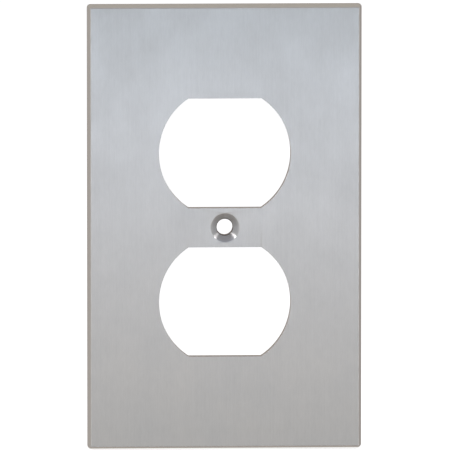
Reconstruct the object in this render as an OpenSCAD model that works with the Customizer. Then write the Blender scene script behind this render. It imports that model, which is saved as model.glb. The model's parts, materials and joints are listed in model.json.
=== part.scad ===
// Wall plate cover for one duplex receptacle, with its mounting screw.
// The plate stands upright, as on a wall: X to the right, Z up the wall, and its face looks along -Y.
// The origin is on the axis of the screw hole, in the plane of the plate's back.

/* [Plate] */
// Width of the plate at its back
plate_w = 71.6; // [68:0.1:90]
// Height of the plate at its back
plate_h = 116.4; // [112:0.1:140]
// Depth from the wall to the face
plate_t = 4.5; // [4:0.1:6.5]
// How far each steep side leans in between the wall and the face
side_lean = 0.85; // [0.3:0.05:1.2]
// Height of the upright foot below the steep sides
foot_h = 0.5; // [0.2:0.1:0.8]
// Radius of the plate's four corners
corner_r = 0.9; // [0.4:0.1:2]

/* [Hollow back] */
// Thickness of the metal behind the face
web_t = 3.5; // [2.6:0.1:3.7]
// Width of the rim that rests on the wall
rim_w = 3.0; // [2:0.1:5]
// Corner radius of the hollow
hollow_r = 2.5; // [1:0.1:5]
// Diameter of the boss round the screw hole
boss_d = 8.4; // [8.2:0.1:10]

/* [Receptacle openings] */
// Distance between the centres of the two openings
opening_pitch = 38.9; // [38.5:0.1:39.3]
// Diameter of each opening's round sides
opening_d = 34.3; // [33.5:0.1:35]
// Height of each opening between its two flats
opening_h = 28.6; // [27:0.1:28.8]

/* [Screw hole] */
// Diameter of the straight hole
hole_d = 4.2; // [3.8:0.1:4.8]
// Diameter of the countersink at the face
sink_d = 7.6; // [6.8:0.1:8]
// Included angle of the countersink and of the screw's head
sink_angle = 82; // [82, 90]

/* [Screw] */
// Length of the screw from the edge of its head to its tip
screw_l = 12.7; // [9.5:0.1:25.4]
// Outside diameter of the thread
thread_d = 3.5; // [3:0.1:3.6]
// Diameter of the screw's head
head_d = 7.0; // [6.2:0.1:7.4]
// Height of the crown above the edge of the head
crown_h = 1.1; // [0.6:0.1:1.4]
// Width of the driver slot
slot_w = 1.1; // [0.8:0.1:1.3]
// Depth of the driver slot below the top of the crown
slot_depth = 1.4; // [0.8:0.1:1.6]
// Length of the chamfer at the screw's tip
tip_chamfer = 0.5; // [0.2:0.1:0.8]
// Distance from the wall side of the plate to the axis of the loose screw
screw_gap = 12; // [8:1:30]

/* [Hidden] */
$fn = 96;

metal_colour = [0.75, 0.76, 0.77];
screw_colour = [0.70, 0.71, 0.72];

// How far a cut runs past the face it opens
past = 1;

hollow_t = plate_t - web_t;
half_angle = sink_angle / 2;

// Depths of the countersink and of the cone under the screw's head
sink_depth = (sink_d - hole_d) / 2 / tan(half_angle);
head_depth = (head_d - thread_d) / 2 / tan(half_angle);

// Radius of the sphere that the crown is cut from
crown_r = (pow(head_d / 2, 2) + pow(crown_h, 2)) / (2 * crown_h);

// The loose screw rests on the edge of its head and on the end of its thread
screw_tilt = atan((head_d - thread_d) / 2 / (screw_l - tip_chamfer));
table_z = -plate_h / 2;

// Stands a shape that was drawn lying on its back up against the wall
module stand_up() {
    rotate([90, 0, 0]) children();
}

// A rectangle with round corners
module round_rectangle(w, h, r) {
    square([w - 2 * r, h], center = true);
    square([w, h - 2 * r], center = true);
    for (x = [-1, 1], y = [-1, 1]) {
        translate([x * (w / 2 - r), y * (h / 2 - r)]) circle(r);
    }
}

// A bar along Y whose two long sides lean in above the foot
module leaning_bar(w, l) {
    face_w = w - 2 * side_lean;
    side = [
        [-w / 2, 0],
        [w / 2, 0],
        [w / 2, foot_h],
        [face_w / 2, plate_t],
        [-face_w / 2, plate_t],
        [-w / 2, foot_h]
    ];
    rotate([90, 0, 0]) linear_extrude(l, center = true) polygon(side);
}

// The outside of the plate, lying on its back
module plate_blank() {
    intersection() {
        leaning_bar(plate_w, plate_h + 2 * past);
        rotate([0, 0, 90]) leaning_bar(plate_h, plate_w + 2 * past);
        linear_extrude(plate_t) round_rectangle(plate_w, plate_h, corner_r);
    }
}

// The hollow behind the web, which leaves the boss standing
module hollow() {
    difference() {
        translate([0, 0, -past]) linear_extrude(hollow_t + past) {
            round_rectangle(plate_w - 2 * rim_w, plate_h - 2 * rim_w, hollow_r);
        }
        translate([0, 0, -2 * past]) cylinder(h = hollow_t + 3 * past, d = boss_d);
    }
}

// The opening for one receptacle face: a circle with a flat at the top and the bottom
module receptacle_opening() {
    translate([0, 0, -past]) intersection() {
        cylinder(h = plate_t + 2 * past, d = opening_d);
        translate([-opening_d / 2 - past, -opening_h / 2, 0]) {
            cube([opening_d + 2 * past, opening_h, plate_t + 2 * past]);
        }
    }
}

// The clearance hole and its countersink, with the cone carried on past the face
module screw_hole() {
    translate([0, 0, -past]) cylinder(h = plate_t + 2 * past, d = hole_d);
    translate([0, 0, plate_t - sink_depth]) {
        cylinder(h = sink_depth + past, d1 = hole_d, d2 = sink_d + 2 * past * tan(half_angle));
    }
}

module faceplate() {
    color(metal_colour) stand_up() difference() {
        plate_blank();
        hollow();
        for (side = [-1, 1]) {
            translate([0, side * opening_pitch / 2, 0]) receptacle_opening();
        }
        screw_hole();
    }
}

// The screw on its own axis: its head's edge at the origin and its tip up
module screw_solid() {
    difference() {
        union() {
            intersection() {
                translate([0, 0, crown_r - crown_h]) sphere(crown_r);
                translate([0, 0, -crown_h - past]) cylinder(h = crown_h + past, d = head_d);
            }
            cylinder(h = head_depth, d1 = head_d, d2 = thread_d);
            cylinder(h = screw_l - tip_chamfer, d = thread_d);
            translate([0, 0, screw_l - tip_chamfer]) {
                cylinder(h = tip_chamfer, d1 = thread_d, d2 = thread_d - 2 * tip_chamfer);
            }
        }
        translate([-slot_w / 2, -head_d, -crown_h - past]) {
            cube([slot_w, 2 * head_d, slot_depth + past]);
        }
    }
}

// The screw lies loose on the table behind the plate, with its tip to the right
module mounting_screw() {
    color(screw_colour) {
        translate([-screw_l / 2, screw_gap, table_z])
        rotate([0, 90 + screw_tilt, 0])
        translate([-head_d / 2, 0, 0])
        screw_solid();
    }
}

faceplate();
mounting_screw();
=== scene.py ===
"""The looks of the wall plate cover: a brushed metal plate, standing, and its loose screw behind it."""

import json
import math

import bmesh
import bpy
from mathutils import Matrix, Vector


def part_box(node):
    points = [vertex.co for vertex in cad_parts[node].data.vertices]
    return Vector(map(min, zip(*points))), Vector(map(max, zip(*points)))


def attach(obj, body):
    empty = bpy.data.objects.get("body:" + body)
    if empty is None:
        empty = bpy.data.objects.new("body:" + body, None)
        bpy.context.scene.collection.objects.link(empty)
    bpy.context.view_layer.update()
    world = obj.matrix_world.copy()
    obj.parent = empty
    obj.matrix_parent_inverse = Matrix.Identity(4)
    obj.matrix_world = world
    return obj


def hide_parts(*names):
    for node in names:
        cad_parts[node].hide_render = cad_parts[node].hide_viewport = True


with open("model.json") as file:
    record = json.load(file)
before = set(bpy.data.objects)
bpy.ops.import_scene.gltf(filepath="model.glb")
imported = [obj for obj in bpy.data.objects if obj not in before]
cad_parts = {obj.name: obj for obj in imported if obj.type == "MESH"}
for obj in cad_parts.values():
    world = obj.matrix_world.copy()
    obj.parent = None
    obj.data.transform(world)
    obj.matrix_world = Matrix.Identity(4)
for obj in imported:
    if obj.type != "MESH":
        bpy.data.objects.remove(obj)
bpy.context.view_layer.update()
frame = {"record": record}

MM = 0.001

# ---------------------------------------------------------------- sizes, in millimetres

mounts = {mount["name"]: mount for mount in frame["record"]["mounts"]}
plate_low, plate_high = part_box("faceplate")

PLATE_W = (plate_high.x - plate_low.x) / MM
PLATE_H = (plate_high.z - plate_low.z) / MM
PLATE_T = (plate_high.y - plate_low.y) / MM
TABLE_Z = plate_low.z / MM

SIDE_LEAN = 0.85
FOOT_H = 0.5
CORNER_R = 0.95
FACE_CORNER_R = 0.12
CREST_R = 0.18
EDGE_R = 0.06

RIM_W = 3.0
WEB_T = 3.5
HOLLOW_T = PLATE_T - WEB_T
HOLLOW_R = 2.5
HOLLOW_FILLET = 0.35
BOSS_R = 4.2

OPENING_PITCH = 38.9
OPENING_R = 34.3 / 2
OPENING_HALF_H = 28.6 / 2
OPENING_FILLET = 0.35
WALL_BREAK = 0.08

HOLE_R = mounts["screw_hole"]["dims"]["r_mm"]
HOLE_BREAK = 0.1
SINK_R = 3.8
SINK_LIP = 0.05
SINK_HALF_ANGLE = math.radians(41)
SINK_DEPTH = (SINK_R - HOLE_R) / math.tan(SINK_HALF_ANGLE)

# How far the thread and the tip stay inside the CAD's plain screw
THREAD_GAP = 0.01
TIP_GAP = 0.02

SCREW_L = 12.7
THREAD_R = mounts["screw_thread"]["dims"]["r_mm"] - THREAD_GAP
THREAD_PITCH = 25.4 / 32
THREAD_DEPTH = 0.40
HEAD_R = 3.5
HEAD_DEPTH = (HEAD_R - THREAD_R) / math.tan(SINK_HALF_ANGLE)
CROWN_H = 1.1
SLOT_W = 1.1
SLOT_DEPTH = 1.4
TIP_CHAMFER = 0.5

# How many straight pieces stand for an arc
OPENING_STEPS = 40
FILLET_STEPS = 4
CREST_STEPS = 6


# ---------------------------------------------------------------- outlines and meshes

def arc(centre, radius, start, end, steps):
    """Points along an arc, in degrees, both ends included."""
    angles = [math.radians(start + (end - start) * i / steps) for i in range(steps + 1)]
    return [(centre[0] + radius * math.cos(a), centre[1] + radius * math.sin(a)) for a in angles]


def circle(radius, steps=64):
    return arc((0, 0), radius, 0, 360, steps)[:-1]


def rectangle(half_w, half_h):
    return [(half_w, -half_h), (half_w, half_h), (-half_w, half_h), (-half_w, -half_h)]


def round_rectangle(half_w, half_h, radius, steps=8):
    points = []
    for x, y, start in ((1, 1, 0), (-1, 1, 90), (-1, -1, 180), (1, -1, 270)):
        centre = (x * (half_w - radius), y * (half_h - radius))
        points += arc(centre, radius, start, start + 90, steps)
    return points


def opening_outline(grow, side):
    """A receptacle opening, grown by some millimetres; side is 1 for the upper one, -1 for the lower."""
    radius = OPENING_R + grow
    fillet = OPENING_FILLET + grow
    corner_y = OPENING_HALF_H - OPENING_FILLET
    corner_x = math.sqrt((radius - fillet) ** 2 - corner_y**2)
    meet = math.degrees(math.atan2(corner_y, corner_x))
    points = arc((0, 0), radius, -meet, meet, OPENING_STEPS)[1:-1]
    points += arc((corner_x, corner_y), fillet, meet, 90, FILLET_STEPS)
    points += arc((-corner_x, corner_y), fillet, 90, 180 - meet, FILLET_STEPS)
    points += arc((0, 0), radius, 180 - meet, 180 + meet, OPENING_STEPS)[1:-1]
    points += arc((-corner_x, -corner_y), fillet, 180 + meet, 270, FILLET_STEPS)
    points += arc((corner_x, -corner_y), fillet, 270, 360 - meet, FILLET_STEPS)
    return [(x, y + side * OPENING_PITCH / 2) for x, y in points]


def quarter(radius, steps=3):
    """Points round a quarter turn, as pairs: how far on it has come, and how far it has turned aside."""
    turns = [math.pi / 2 * i / steps for i in range(steps + 1)]
    return [(radius * math.sin(t), radius * (1 - math.cos(t))) for t in turns]


class Shell:
    """A closed mesh made of rings of points, strips between rings, and flat faces between outlines."""

    def __init__(self):
        self.bm = bmesh.new()

    def ring(self, outline, height):
        return [self.bm.verts.new((x, y, height)) for x, y in outline]

    def face(self, corners, material=0):
        made = self.bm.faces.new(corners)
        made.material_index = material
        made.smooth = True

    def strips(self, rings, material=0):
        """Joins each ring to the next."""
        for low, high in zip(rings, rings[1:]):
            for i in range(len(low)):
                j = (i + 1) % len(low)
                self.face((low[i], low[j], high[j], high[i]), material)

    def flat(self, rings, material=0):
        """Fills the flat area between closed rings of points."""
        edges = []
        for ring in rings:
            for v, w in zip(ring, ring[1:] + ring[:1]):
                edges.append(self.bm.edges.get((v, w)) or self.bm.edges.new((v, w)))
        made = bmesh.ops.triangle_fill(self.bm, use_beauty=True, use_dissolve=False, edges=edges)
        for face in made["geom"]:
            if isinstance(face, bmesh.types.BMFace):
                face.material_index = material
                face.smooth = True

    def finish(self, name, placed, materials, sharp_angle=50):
        """Turns the mesh outwards, moves it to its place in metres and gives it its materials."""
        bmesh.ops.recalc_face_normals(self.bm, faces=self.bm.faces)
        mesh = bpy.data.meshes.new(name)
        self.bm.to_mesh(mesh)
        self.bm.free()
        mesh.transform(placed)
        mesh.set_sharp_from_angle(angle=math.radians(sharp_angle))
        for material in materials:
            mesh.materials.append(material)
        piece = bpy.data.objects.new(name, mesh)
        bpy.context.scene.collection.objects.link(piece)
        return piece


def stands_for(piece, node, body):
    """Shows a piece in place of a CAD node."""
    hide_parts(node)
    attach(piece, body)


# ---------------------------------------------------------------- materials

# Noise mostly lies between these two values
NOISE_RANGE = (0.3, 0.7)


class Look:
    """A metal material and its nodes: noise along chosen axes drives colour, roughness and bump."""

    def __init__(self, name, colour, roughness, anisotropic=0.0, turn=0.0):
        self.colour = colour
        self.material = bpy.data.materials.new(name)
        self.material.use_nodes = True
        self.tree = self.material.node_tree
        self.shader = self.tree.nodes["Principled BSDF"]
        self.shader.inputs["Base Color"].default_value = (*colour, 1)
        self.shader.inputs["Metallic"].default_value = 1.0
        self.shader.inputs["Roughness"].default_value = roughness
        self.shader.inputs["Anisotropic"].default_value = anisotropic
        self.shader.inputs["Anisotropic Rotation"].default_value = turn
        self.place = self.node("ShaderNodeTexCoord").outputs["Object"]

    def node(self, kind, **settings):
        made = self.tree.nodes.new(kind)
        for key, value in settings.items():
            setattr(made, key, value)
        return made

    def link(self, a, b):
        self.tree.links.new(a, b)

    def math(self, operation, *values):
        made = self.node("ShaderNodeMath", operation=operation)
        for socket, value in zip(made.inputs, values):
            if isinstance(value, (int, float)):
                socket.default_value = value
            else:
                self.link(value, socket)
        return made.outputs["Value"]

    def noise(self, scale, detail=2.0, rough=0.5, place=None):
        """Noise whose grain is scale times finer than a metre along each axis."""
        mapping = self.node("ShaderNodeMapping")
        mapping.inputs["Scale"].default_value = scale
        self.link(place or self.place, mapping.inputs["Vector"])
        made = self.node("ShaderNodeTexNoise")
        made.inputs["Scale"].default_value = 1.0
        made.inputs["Detail"].default_value = detail
        made.inputs["Roughness"].default_value = rough
        self.link(mapping.outputs["Vector"], made.inputs["Vector"])
        return made.outputs["Fac"]

    def weigh(self, *parts):
        """Adds up pairs of a value and its weight."""
        total = 0.0
        for value, weight in parts:
            total = self.math("MULTIPLY_ADD", value, weight, total)
        return total

    def from_hole(self):
        """The place as its distance from the axis of the screw hole."""
        axes = self.node("ShaderNodeSeparateXYZ")
        self.link(self.place, axes.inputs["Vector"])
        squares = [self.math("MULTIPLY", axes.outputs[k], axes.outputs[k]) for k in "XZ"]
        made = self.node("ShaderNodeCombineXYZ")
        self.link(self.math("SQRT", self.math("ADD", *squares)), made.inputs["X"])
        return made.outputs["Vector"]

    def tint(self, value, dark, light):
        """Runs the base colour from dark to light times itself as the noise runs from low to high."""
        ramp = self.node("ShaderNodeValToRGB")
        for element, position, share in zip(ramp.color_ramp.elements, NOISE_RANGE, (dark, light)):
            element.position = position
            element.color = (*[min(1.0, c * share) for c in self.colour], 1)
        self.link(value, ramp.inputs["Fac"])
        self.link(ramp.outputs["Color"], self.shader.inputs["Base Color"])

    def rough(self, value, at_low, at_high):
        made = self.node("ShaderNodeMapRange")
        made.inputs["From Min"].default_value, made.inputs["From Max"].default_value = NOISE_RANGE
        made.inputs["To Min"].default_value = at_low
        made.inputs["To Max"].default_value = at_high
        self.link(value, made.inputs["Value"])
        self.link(made.outputs["Result"], self.shader.inputs["Roughness"])

    def bump(self, value, height_mm):
        made = self.node("ShaderNodeBump")
        made.inputs["Distance"].default_value = height_mm * MM
        self.link(value, made.inputs["Height"])
        self.link(made.outputs["Normal"], self.shader.inputs["Normal"])

    def tangent(self, axis):
        made = self.node("ShaderNodeTangent", direction_type="RADIAL", axis=axis)
        self.link(made.outputs["Tangent"], self.shader.inputs["Tangent"])


def brushed_face():
    """The face: short fine strokes up and down, a few long ones, and a faintly blotchy sheen."""
    look = Look("brushed_face", (0.72, 0.73, 0.74), 0.40, anisotropic=0.6)
    look.tangent("Z")
    short = look.noise((3600, 3600, 520), detail=3.0, rough=0.7)
    long = look.noise((2600, 2600, 45))
    broad = look.noise((620, 620, 330))
    cloud = look.noise((120, 120, 90), detail=3.0)
    strokes = look.weigh((short, 0.48), (broad, 0.27), (long, 0.25))
    look.tint(look.weigh((strokes, 0.76), (cloud, 0.24)), 0.942, 1.058)
    look.rough(look.weigh((strokes, 0.5), (cloud, 0.5)), 0.44, 0.36)
    look.bump(strokes, 0.003)
    return look.material


def satin_side():
    """The steep sides: brushed along the plate's edges, a little duller than the face."""
    look = Look("satin_side", (0.70, 0.69, 0.67), 0.42)
    fine = look.noise((700, 3800, 700), detail=3.0, rough=0.6)
    look.tint(fine, 0.93, 1.05)
    look.rough(fine, 0.48, 0.38)
    look.bump(fine, 0.004)
    return look.material


def edge_painted_highlight():
    """The narrow rounded edge round the face, with a painted highlight: its colour is lighter than what
    is next to it.
    """
    look = Look("edge_painted_highlight", (0.84, 0.83, 0.82), 0.42)
    edge_noise = look.noise((420, 420, 420), detail=3.0)
    look.tint(edge_noise, 0.94, 1.06)
    look.rough(edge_noise, 0.50, 0.36)
    look.bump(edge_noise, 0.002)
    return look.material


def milled_wall():
    """The walls of the openings: fine marks along the cutter's path through the metal."""
    look = Look("milled_wall", (0.62, 0.61, 0.60), 0.38)
    marks = look.noise((2600, 420, 2600))
    look.tint(marks, 0.88, 1.06)
    look.rough(marks, 0.46, 0.32)
    look.bump(marks, 0.004)
    return look.material


def turned_sink():
    """The countersink: rings left by the tool, from fine ones to a few broad ones."""
    look = Look("turned_sink", (0.84, 0.82, 0.81), 0.30, anisotropic=0.9, turn=0.25)
    look.tangent("Y")
    radius = look.from_hole()
    fine_rings = look.noise((9000, 1, 1), place=radius)
    broad_rings = look.noise((2600, 1, 1), detail=1.0, place=radius)
    chatter = look.noise((1600, 1600, 1600))
    rings = look.weigh((fine_rings, 0.5), (broad_rings, 0.5))
    look.tint(rings, 0.84, 1.08)
    look.rough(look.weigh((rings, 0.7), (chatter, 0.3)), 0.36, 0.26)
    look.bump(rings, 0.010)
    return look.material


def hole_painted_shade():
    """The straight hole and the edge where it meets the countersink: darker with painted shade, and with
    the drill's rings.
    """
    look = Look("hole_painted_shade", (0.33, 0.31, 0.30), 0.42)
    rings = look.noise((500, 5200, 500))
    look.tint(rings, 0.85, 1.1)
    look.rough(rings, 0.48, 0.36)
    look.bump(rings, 0.006)
    return look.material


def plain_back():
    """The back, which nobody polishes: coarse marks along the plate and faint patches."""
    look = Look("plain_back", (0.79, 0.83, 0.87), 0.46)
    marks = look.noise((1900, 1900, 160), detail=4.0, rough=0.6)
    patch = look.noise((45, 45, 30), detail=3.0)
    both = look.weigh((marks, 0.7), (patch, 0.3))
    look.tint(both, 0.90, 1.05)
    look.rough(both, 0.52, 0.42)
    look.bump(marks, 0.008)
    return look.material


def screw_steel():
    """The screw: plated steel, bright on the crests and a little uneven from handling."""
    look = Look("screw_steel", (0.76, 0.78, 0.80), 0.26)
    marks = look.noise((2400, 2400, 2400), detail=3.0)
    look.tint(marks, 0.93, 1.04)
    look.rough(marks, 0.32, 0.22)
    look.bump(marks, 0.002)
    return look.material


# ---------------------------------------------------------------- the plate

# The plate's materials, in the order of its slots
FACE, SIDE, CREST, WALL, SINK, HOLE, BACK = range(7)

# The plate is drawn lying on its back and then stood up against the wall
STAND_UP = Matrix.Rotation(math.radians(90), 4, "X") @ Matrix.Scale(MM, 4)


def plate_outside(shell):
    """The foot's small rounded edge, the steep side, and the crest that turns into the face."""
    lean = math.atan2(SIDE_LEAN, PLATE_T - FOOT_H)

    def outer(inset, height):
        radius = max(CORNER_R - inset, FACE_CORNER_R)
        return shell.ring(round_rectangle(PLATE_W / 2 - inset, PLATE_H / 2 - inset, radius), height)

    foot = [outer(inset, EDGE_R - rise) for rise, inset in reversed(quarter(EDGE_R))]
    side_start = outer(0, FOOT_H)

    # The crest is an arc that touches both the leaning side and the face
    centre_height = PLATE_T - CREST_R
    side_height = centre_height + CREST_R * math.sin(lean) - FOOT_H
    centre_inset = side_height * math.tan(lean) + CREST_R * math.cos(lean)
    turns = [lean + (math.pi / 2 - lean) * i / CREST_STEPS for i in range(CREST_STEPS + 1)]
    crest = [
        outer(centre_inset - CREST_R * math.cos(t), centre_height + CREST_R * math.sin(t))
        for t in turns
    ]

    shell.strips([*foot, side_start, crest[0]], SIDE)
    shell.strips(crest, CREST)
    return foot[0], crest[-1]


def receptacle_opening(shell, side):
    """A rounded edge at the face, the wall, and a small break where it meets the hollow."""
    edge = [
        shell.ring(opening_outline(EDGE_R - on, side), PLATE_T - down)
        for on, down in quarter(EDGE_R)
    ]
    wall_end = shell.ring(opening_outline(0, side), HOLLOW_T + WALL_BREAK)
    broken = shell.ring(opening_outline(WALL_BREAK, side), HOLLOW_T)
    shell.strips(edge, CREST)
    shell.strips([edge[-1], wall_end, broken], WALL)
    return broken, edge[0]


# Where the rings of the countersink lie, as shares of its depth; the edge darkened with painted shade
# starts at the last
SINK_SHARES = (0.02, 0.25, 0.5, 0.75, 0.91)


def screw_hole(shell):
    """A broken edge at the face, the countersink, and the straight hole with its own broken edge."""
    def cone_ring(share):
        radius = SINK_R + (HOLE_R - SINK_R) * share
        return shell.ring(circle(radius), PLATE_T - SINK_DEPTH * share)

    lip = shell.ring(circle(SINK_R + SINK_LIP), PLATE_T)
    cone = [cone_ring(share) for share in SINK_SHARES]
    hole = [
        cone_ring(1),
        shell.ring(circle(HOLE_R), HOLE_BREAK),
        shell.ring(circle(HOLE_R + HOLE_BREAK), 0)
    ]
    shell.strips([lip, cone[0]], CREST)
    shell.strips(cone, SINK)
    shell.strips([cone[-1], *hole], HOLE)
    return hole[-1], lip


def boss(shell, hole_end):
    """The boss round the screw hole: a flat end, a rounded edge, its side, and a fillet at its foot."""
    edge = [shell.ring(circle(BOSS_R - EDGE_R + on), rise) for on, rise in quarter(EDGE_R)]
    fillet = [
        shell.ring(circle(BOSS_R + out), HOLLOW_T - HOLLOW_FILLET + rise)
        for rise, out in quarter(HOLLOW_FILLET, FILLET_STEPS)
    ]
    shell.flat([hole_end, edge[0]], BACK)
    shell.strips([*edge, *fillet], BACK)
    return fillet[-1]


def hollow(shell, foot):
    """The rim that rests on the wall, a rounded edge, the hollow's wall, and a fillet into its floor."""
    def inner(grow, height):
        half_w = PLATE_W / 2 - RIM_W + grow
        half_h = PLATE_H / 2 - RIM_W + grow
        return shell.ring(round_rectangle(half_w, half_h, HOLLOW_R + grow), height)

    edge = [inner(EDGE_R - on, rise) for on, rise in quarter(EDGE_R)]
    fillet = [
        inner(-inwards, HOLLOW_T - HOLLOW_FILLET + rise)
        for rise, inwards in quarter(HOLLOW_FILLET, FILLET_STEPS)
    ]
    shell.flat([foot, edge[0]], BACK)
    shell.strips([*edge, *fillet], BACK)
    return fillet[-1]


def build_plate():
    shell = Shell()
    foot, face_edge = plate_outside(shell)
    openings = [receptacle_opening(shell, side) for side in (1, -1)]
    hole_end, lip = screw_hole(shell)
    shell.flat([face_edge, lip, *[front for back, front in openings]], FACE)
    shell.flat([hollow(shell, foot), boss(shell, hole_end), *[back for back, front in openings]], BACK)

    looks = [
        brushed_face(),
        satin_side(),
        edge_painted_highlight(),
        milled_wall(),
        turned_sink(),
        hole_painted_shade(),
        plain_back()
    ]
    plate = shell.finish("faceplate_metal", STAND_UP, looks)
    plate.modifiers.new("weighted_normals", "WEIGHTED_NORMAL").keep_sharp = True
    stands_for(plate, "faceplate", "plate")


# ---------------------------------------------------------------- the screw

SCREW_STEPS = 48
ROWS_A_TURN = 8

# The neck between head and thread: its length, its plain row below the thread, and its flare at the head
NECK_L = 0.3
NECK_ROW = 0.1
NECK_FLARE = 0.02

THREAD_START = HEAD_DEPTH + NECK_L
THREAD_END = SCREW_L - TIP_GAP

# Parts of the thread's pitch: half the flat at its root, each flank, and the run-out beside the head
ROOT_SHARE = 0.07
FLANK_SHARE = 0.33
RUN_OUT_TURNS = 1.2

# Half the height of the upright edge round the head
HEAD_EDGE = 0.03

# Where the rings of the crown lie, as shares of the way from its middle to its edge
CROWN_SHARES = (0.97, 0.88, 0.75, 0.6, 0.45, 0.3, 0.15)

# Heights that differ by less than this are the same
NEARLY = 1e-6

# Edges of the screw that turn by more than this, in degrees, look sharp
SCREW_SHARP = 35


def clamp(value):
    return max(0.0, min(1.0, value))


def thread_point(turn, height):
    """A point on the thread at an angle, in turns, and a height along the screw."""
    phase = (height / THREAD_PITCH - turn) % 1.0
    flank = clamp((abs(phase - 0.5) - ROOT_SHARE) / FLANK_SHARE)
    run_out = clamp((height - THREAD_START) / (RUN_OUT_TURNS * THREAD_PITCH))
    radius = THREAD_R - THREAD_DEPTH * (1 - flank) * run_out
    radius = min(radius, THREAD_R - TIP_CHAMFER + SCREW_L - height)
    angle = 2 * math.pi * turn
    return radius * math.cos(angle), radius * math.sin(angle)


def thread(shell):
    """The threaded shank, in rows that follow the helix, so that its crests stay sharp."""
    turns = [j / SCREW_STEPS for j in range(SCREW_STEPS)]
    low, high = [
        shell.ring([thread_point(turn, height) for turn in turns], height)
        for height in (THREAD_START, THREAD_END)
    ]
    grid = {}

    def corner(i, j):
        if j == SCREW_STEPS:
            i, j = i + ROWS_A_TURN, 0
        height = THREAD_START + (i / ROWS_A_TURN - 1 + turns[j]) * THREAD_PITCH
        if height < THREAD_START + NEARLY:
            return low[j]
        if height > THREAD_END - NEARLY:
            return high[j]
        if (i, j) not in grid:
            grid[i, j] = shell.bm.verts.new((*thread_point(turns[j], height), height))
        return grid[i, j]

    rows = int((THREAD_END - THREAD_START) / THREAD_PITCH * ROWS_A_TURN) + 2 * ROWS_A_TURN
    for i in range(rows):
        for j in range(SCREW_STEPS):
            corners = [corner(i, j), corner(i, j + 1), corner(i + 1, j + 1), corner(i + 1, j)]
            # Above and below the thread, corners fall together
            corners = list(dict.fromkeys(corners))
            if len(corners) > 2:
                shell.face(corners)
    shell.flat([high])
    return low


def screw_place():
    """Where the screw's own frame lies: the edge of its head at the origin, and its tip along Z."""
    mount = mounts["screw_thread"]
    axis = Vector(mount["axis"]).normalized()
    on_axis = Vector(mount["pos_m"])
    head_z = (TABLE_Z + HEAD_R * axis.x) * MM
    head = on_axis + axis * ((head_z - on_axis.z) / axis.z)
    turn = axis.to_track_quat("Z", "Y").to_matrix().to_4x4()
    return Matrix.Translation(head) @ turn @ Matrix.Scale(MM, 4)


def cut_slot(screw):
    """Cuts the driver slot across the crown and cleans the cut mesh."""
    shell = Shell()
    box = rectangle(SLOT_W / 2, 2 * HEAD_R)
    ends = [shell.ring(box, -2 * CROWN_H), shell.ring(box, SLOT_DEPTH - CROWN_H)]
    shell.strips(ends)
    for end in ends:
        shell.flat([end])
    tool = shell.finish("slot_tool", screw_place(), [])

    cut = screw.modifiers.new("driver_slot", "BOOLEAN")
    cut.operation = "DIFFERENCE"
    cut.solver = "EXACT"
    cut.object = tool
    graph = bpy.context.evaluated_depsgraph_get()
    screw.data = bpy.data.meshes.new_from_object(screw.evaluated_get(graph), depsgraph=graph)
    screw.modifiers.clear()
    bpy.data.objects.remove(tool)

    bm = bmesh.new()
    bm.from_mesh(screw.data)
    bmesh.ops.dissolve_degenerate(bm, dist=MM / 1000, edges=bm.edges)
    bmesh.ops.triangulate(bm, faces=[face for face in bm.faces if len(face.verts) > 4])
    bm.to_mesh(screw.data)
    bm.free()
    screw.data.set_sharp_from_angle(angle=math.radians(SCREW_SHARP))


def build_screw():
    shell = Shell()

    def turned(radius, height):
        return shell.ring(circle(radius, SCREW_STEPS), height)

    # Neck, seat cone, the edge of the head, and the crown
    crown_r = (HEAD_R**2 + CROWN_H**2) / (2 * CROWN_H)
    half = math.asin(HEAD_R / crown_r)
    neck = [turned(THREAD_R, THREAD_START - NECK_ROW), turned(THREAD_R + NECK_FLARE, HEAD_DEPTH)]
    edge = [
        turned(HEAD_R - 2 * HEAD_EDGE, 3 * HEAD_EDGE),
        turned(HEAD_R, HEAD_EDGE),
        turned(HEAD_R, -HEAD_EDGE)
    ]
    crown = [
        turned(crown_r * math.sin(half * share), crown_r * (1 - math.cos(half * share)) - CROWN_H)
        for share in CROWN_SHARES
    ]
    shell.strips([thread(shell), *neck, *edge, *crown])
    shell.flat([crown[-1]])

    screw = shell.finish("mounting_screw_metal", screw_place(), [screw_steel()], SCREW_SHARP)
    cut_slot(screw)
    stands_for(screw, "mounting_screw", "screw")


# ---------------------------------------------------------------- floor, light and camera

# Millimetres, as above; the lights are placed and sized in metres
FLOOR_R = 3300
DOME_R = 3500


def glowing_white(name, strength):
    made = bpy.data.materials.new(name)
    made.use_nodes = True
    shader = made.node_tree.nodes["Principled BSDF"]
    shader.inputs["Base Color"].default_value = (0.9, 0.9, 0.9, 1)
    shader.inputs["Roughness"].default_value = 0.9
    shader.inputs["Specular IOR Level"].default_value = 0.0
    shader.inputs["Emission Color"].default_value = (1, 1, 1, 1)
    shader.inputs["Emission Strength"].default_value = strength
    return made


def build_stage():
    """A white floor and a white dome round it, which the metal doesn't mirror."""
    shell = Shell()
    shell.flat([shell.ring(circle(FLOOR_R, 96), TABLE_Z)])
    floor = shell.finish("floor", Matrix.Scale(MM, 4), [glowing_white("white_floor", 0.67)])
    bpy.ops.mesh.primitive_uv_sphere_add(radius=DOME_R * MM, segments=48, ring_count=24)
    dome = bpy.context.active_object
    dome.name = "dome"
    dome.data.materials.append(glowing_white("white_dome", 1.1))
    dome.visible_diffuse = False
    for thing in (floor, dome):
        thing.visible_glossy = False
        thing.visible_shadow = False


def area_light(name, place, aim, size, power, colour=(1, 1, 1)):
    """A lit card, which the camera doesn't see."""
    data = bpy.data.lights.new(name, "AREA")
    data.shape = "RECTANGLE"
    data.size, data.size_y = size
    data.energy = power
    data.color = colour
    light = bpy.data.objects.new(name, data)
    light.location = place
    light.rotation_euler = (Vector(aim) - Vector(place)).to_track_quat("-Z", "Y").to_euler()
    light.visible_camera = False
    bpy.context.scene.collection.objects.link(light)


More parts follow.
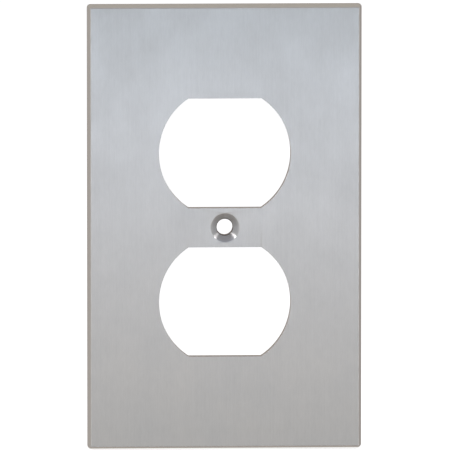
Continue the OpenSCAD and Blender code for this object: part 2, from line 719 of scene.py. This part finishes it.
def build_lights():
    """A warm card below, a cool one straight ahead, and a strip high at each side for the countersink."""
    warm = (1.0, 0.765, 0.625)
    cool = (0.865, 0.895, 1.0)
    middle = (0, 0, 0)
    area_light("low_card", (0, -0.42, -0.0925), (0, 0, -0.0925), (0.9, 0.155), 0.195, warm)
    area_light("level_card", (0, -0.42, 0), middle, (0.9, 0.03), 0.245, cool)
    area_light("left_strip", (-0.48, -0.18, 0.41), middle, (0.32, 0.09), 0.50)
    area_light("right_strip", (0.48, -0.15, 0.39), middle, (0.28, 0.13), 0.30)


class Room:
    """The world's colour by the direction looked in, for the metal to mirror."""

    def __init__(self):
        world = bpy.data.worlds.new("studio")
        world.use_nodes = True
        bpy.context.scene.world = world
        self.nodes = world.node_tree.nodes
        self.links = world.node_tree.links
        coords = self.nodes.new("ShaderNodeTexCoord")
        split = self.nodes.new("ShaderNodeSeparateXYZ")
        self.links.new(coords.outputs["Generated"], split.inputs["Vector"])
        sideways = self.nodes.new("ShaderNodeMath")
        sideways.operation = "ABSOLUTE"
        self.links.new(split.outputs["X"], sideways.inputs[0])
        self.axes = {axis: split.outputs[axis] for axis in "XYZ"}
        self.axes["sideways"] = sideways.outputs["Value"]

    def graded(self, axis, start, end, first, last):
        """A colour that goes from first to last as the direction along an axis goes from start to end."""
        share = self.nodes.new("ShaderNodeMapRange")
        share.inputs["From Min"].default_value = start
        share.inputs["From Max"].default_value = end
        self.links.new(self.axes[axis], share.inputs["Value"])
        mix = self.nodes.new("ShaderNodeMix")
        mix.data_type = "RGBA"
        self.links.new(share.outputs["Result"], mix.inputs["Factor"])
        for socket, colour in ((mix.inputs["A"], first), (mix.inputs["B"], last)):
            if isinstance(colour, tuple):
                socket.default_value = (*colour, 1)
            else:
                self.links.new(colour, socket)
        return mix.outputs["Result"]


def build_room():
    """Grey all round, warm behind, cool ahead, and a bright wall on either side."""
    room = Room()
    below = room.graded("Y", 0.1, -0.5, (0.29, 0.235, 0.215), (0.46, 0.45, 0.44))
    around = room.graded("Z", -1, 0, below, (0.34, 0.335, 0.33))
    around = room.graded("Z", 0, 1, around, (0.34, 0.38, 0.47))
    behind = room.graded("X", -0.5, 0.5, (0.46, 0.395, 0.34), (0.31, 0.255, 0.21))
    behind = room.graded("Z", 0.1, 0.5, behind, (0.58, 0.53, 0.475))
    behind = room.graded("Z", -0.15, -0.35, behind, (0.50, 0.45, 0.41))
    ahead = room.graded("Z", 0.2, 0.35, (0.13, 0.185, 0.195), (0.24, 0.21, 0.19))
    colour = room.graded("Y", 0.05, 0.5, around, behind)
    colour = room.graded("Y", -0.65, -0.9, colour, ahead)
    colour = room.graded("sideways", 0.55, 0.8, colour, (0.60, 0.61, 0.62))
    room.links.new(colour, room.nodes["Background"].inputs["Color"])


def build_camera():
    """A long lens, a little above and to the left of straight on, aimed just beside the screw hole."""
    above = math.radians(5.7)
    left = math.radians(2.7)
    distance = 2.5
    seen_width = 117.34 * MM
    aim_right = 0.209 * MM
    aim_up = 0.261 * MM

    data = bpy.data.cameras.new("camera")
    data.sensor_width = 36.0
    data.lens = data.sensor_width * distance / seen_width
    data.clip_start, data.clip_end = 0.05, 20
    back = Vector((-math.sin(left) * math.cos(above), -math.cos(left) * math.cos(above), math.sin(above)))
    right = Vector((0, 0, 1)).cross(back).normalized()
    up = back.cross(right)

    camera = bpy.data.objects.new("camera", data)
    camera.location = right * aim_right + up * aim_up + back * distance
    camera.rotation_mode = "QUATERNION"
    camera.rotation_quaternion = (-back).to_track_quat("-Z", "Y")
    bpy.context.scene.collection.objects.link(camera)
    bpy.context.scene.camera = camera


build_plate()
build_screw()
build_stage()
build_lights()
build_room()
build_camera()

bpy.context.scene.view_settings.view_transform = "Standard"
bpy.context.scene.view_settings.look = "None"
